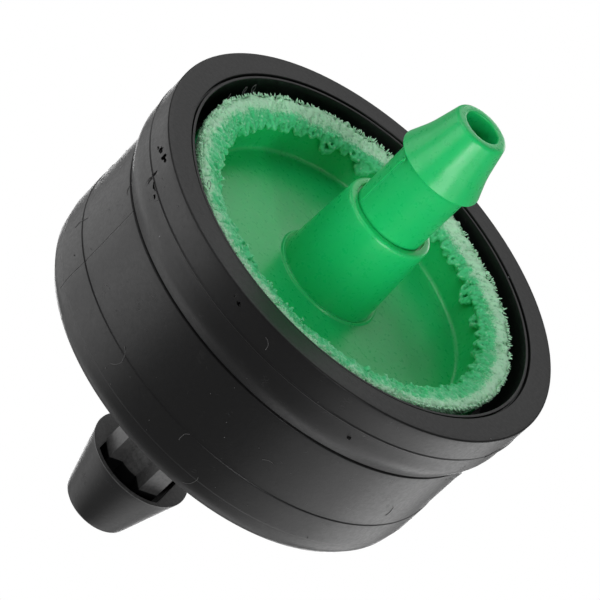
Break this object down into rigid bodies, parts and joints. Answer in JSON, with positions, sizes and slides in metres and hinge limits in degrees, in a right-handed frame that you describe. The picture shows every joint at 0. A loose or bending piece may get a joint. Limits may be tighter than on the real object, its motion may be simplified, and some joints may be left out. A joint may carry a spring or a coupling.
{
  "type": "drip emitter",
  "caption": "Round button drip emitter: black housing with a ribbed pipe barb, green cup-shaped cover with a conical outlet nozzle, and a floating diaphragm inside.",
  "frame": {"origin": "centre of the seat boss's flat face, which rests on the outside of the pipe wall", "axes": "+Z along the turned axis from the inlet barb to the outlet nozzle; the four stem ribs stand 41 degrees round from +X"},
  "size_m": [0.0246, 0.0246, 0.032],
  "materials": {
    "black_plastic": "satin moulded, scuffed",
    "green_plastic": "satin gloss moulded",
    "weld_flash": "ragged, stress-whitened",
    "labyrinth_plastic": "moulded",
    "silicone": "matte"
  },
  "bodies": {
    "housing": {"body": "black_plastic", "cover": "green_plastic", "weld_flash": "weld_flash", "labyrinth_disc": "labyrinth_plastic"},
    "diaphragm": {"diaphragm": "silicone"}
  },
  "joints": [
    {"name": "diaphragm_lift", "type": "slide", "parent": "housing", "child": "diaphragm", "axis": [0, 0, 1], "range_m": [0, 0.0006]}
  ]
}
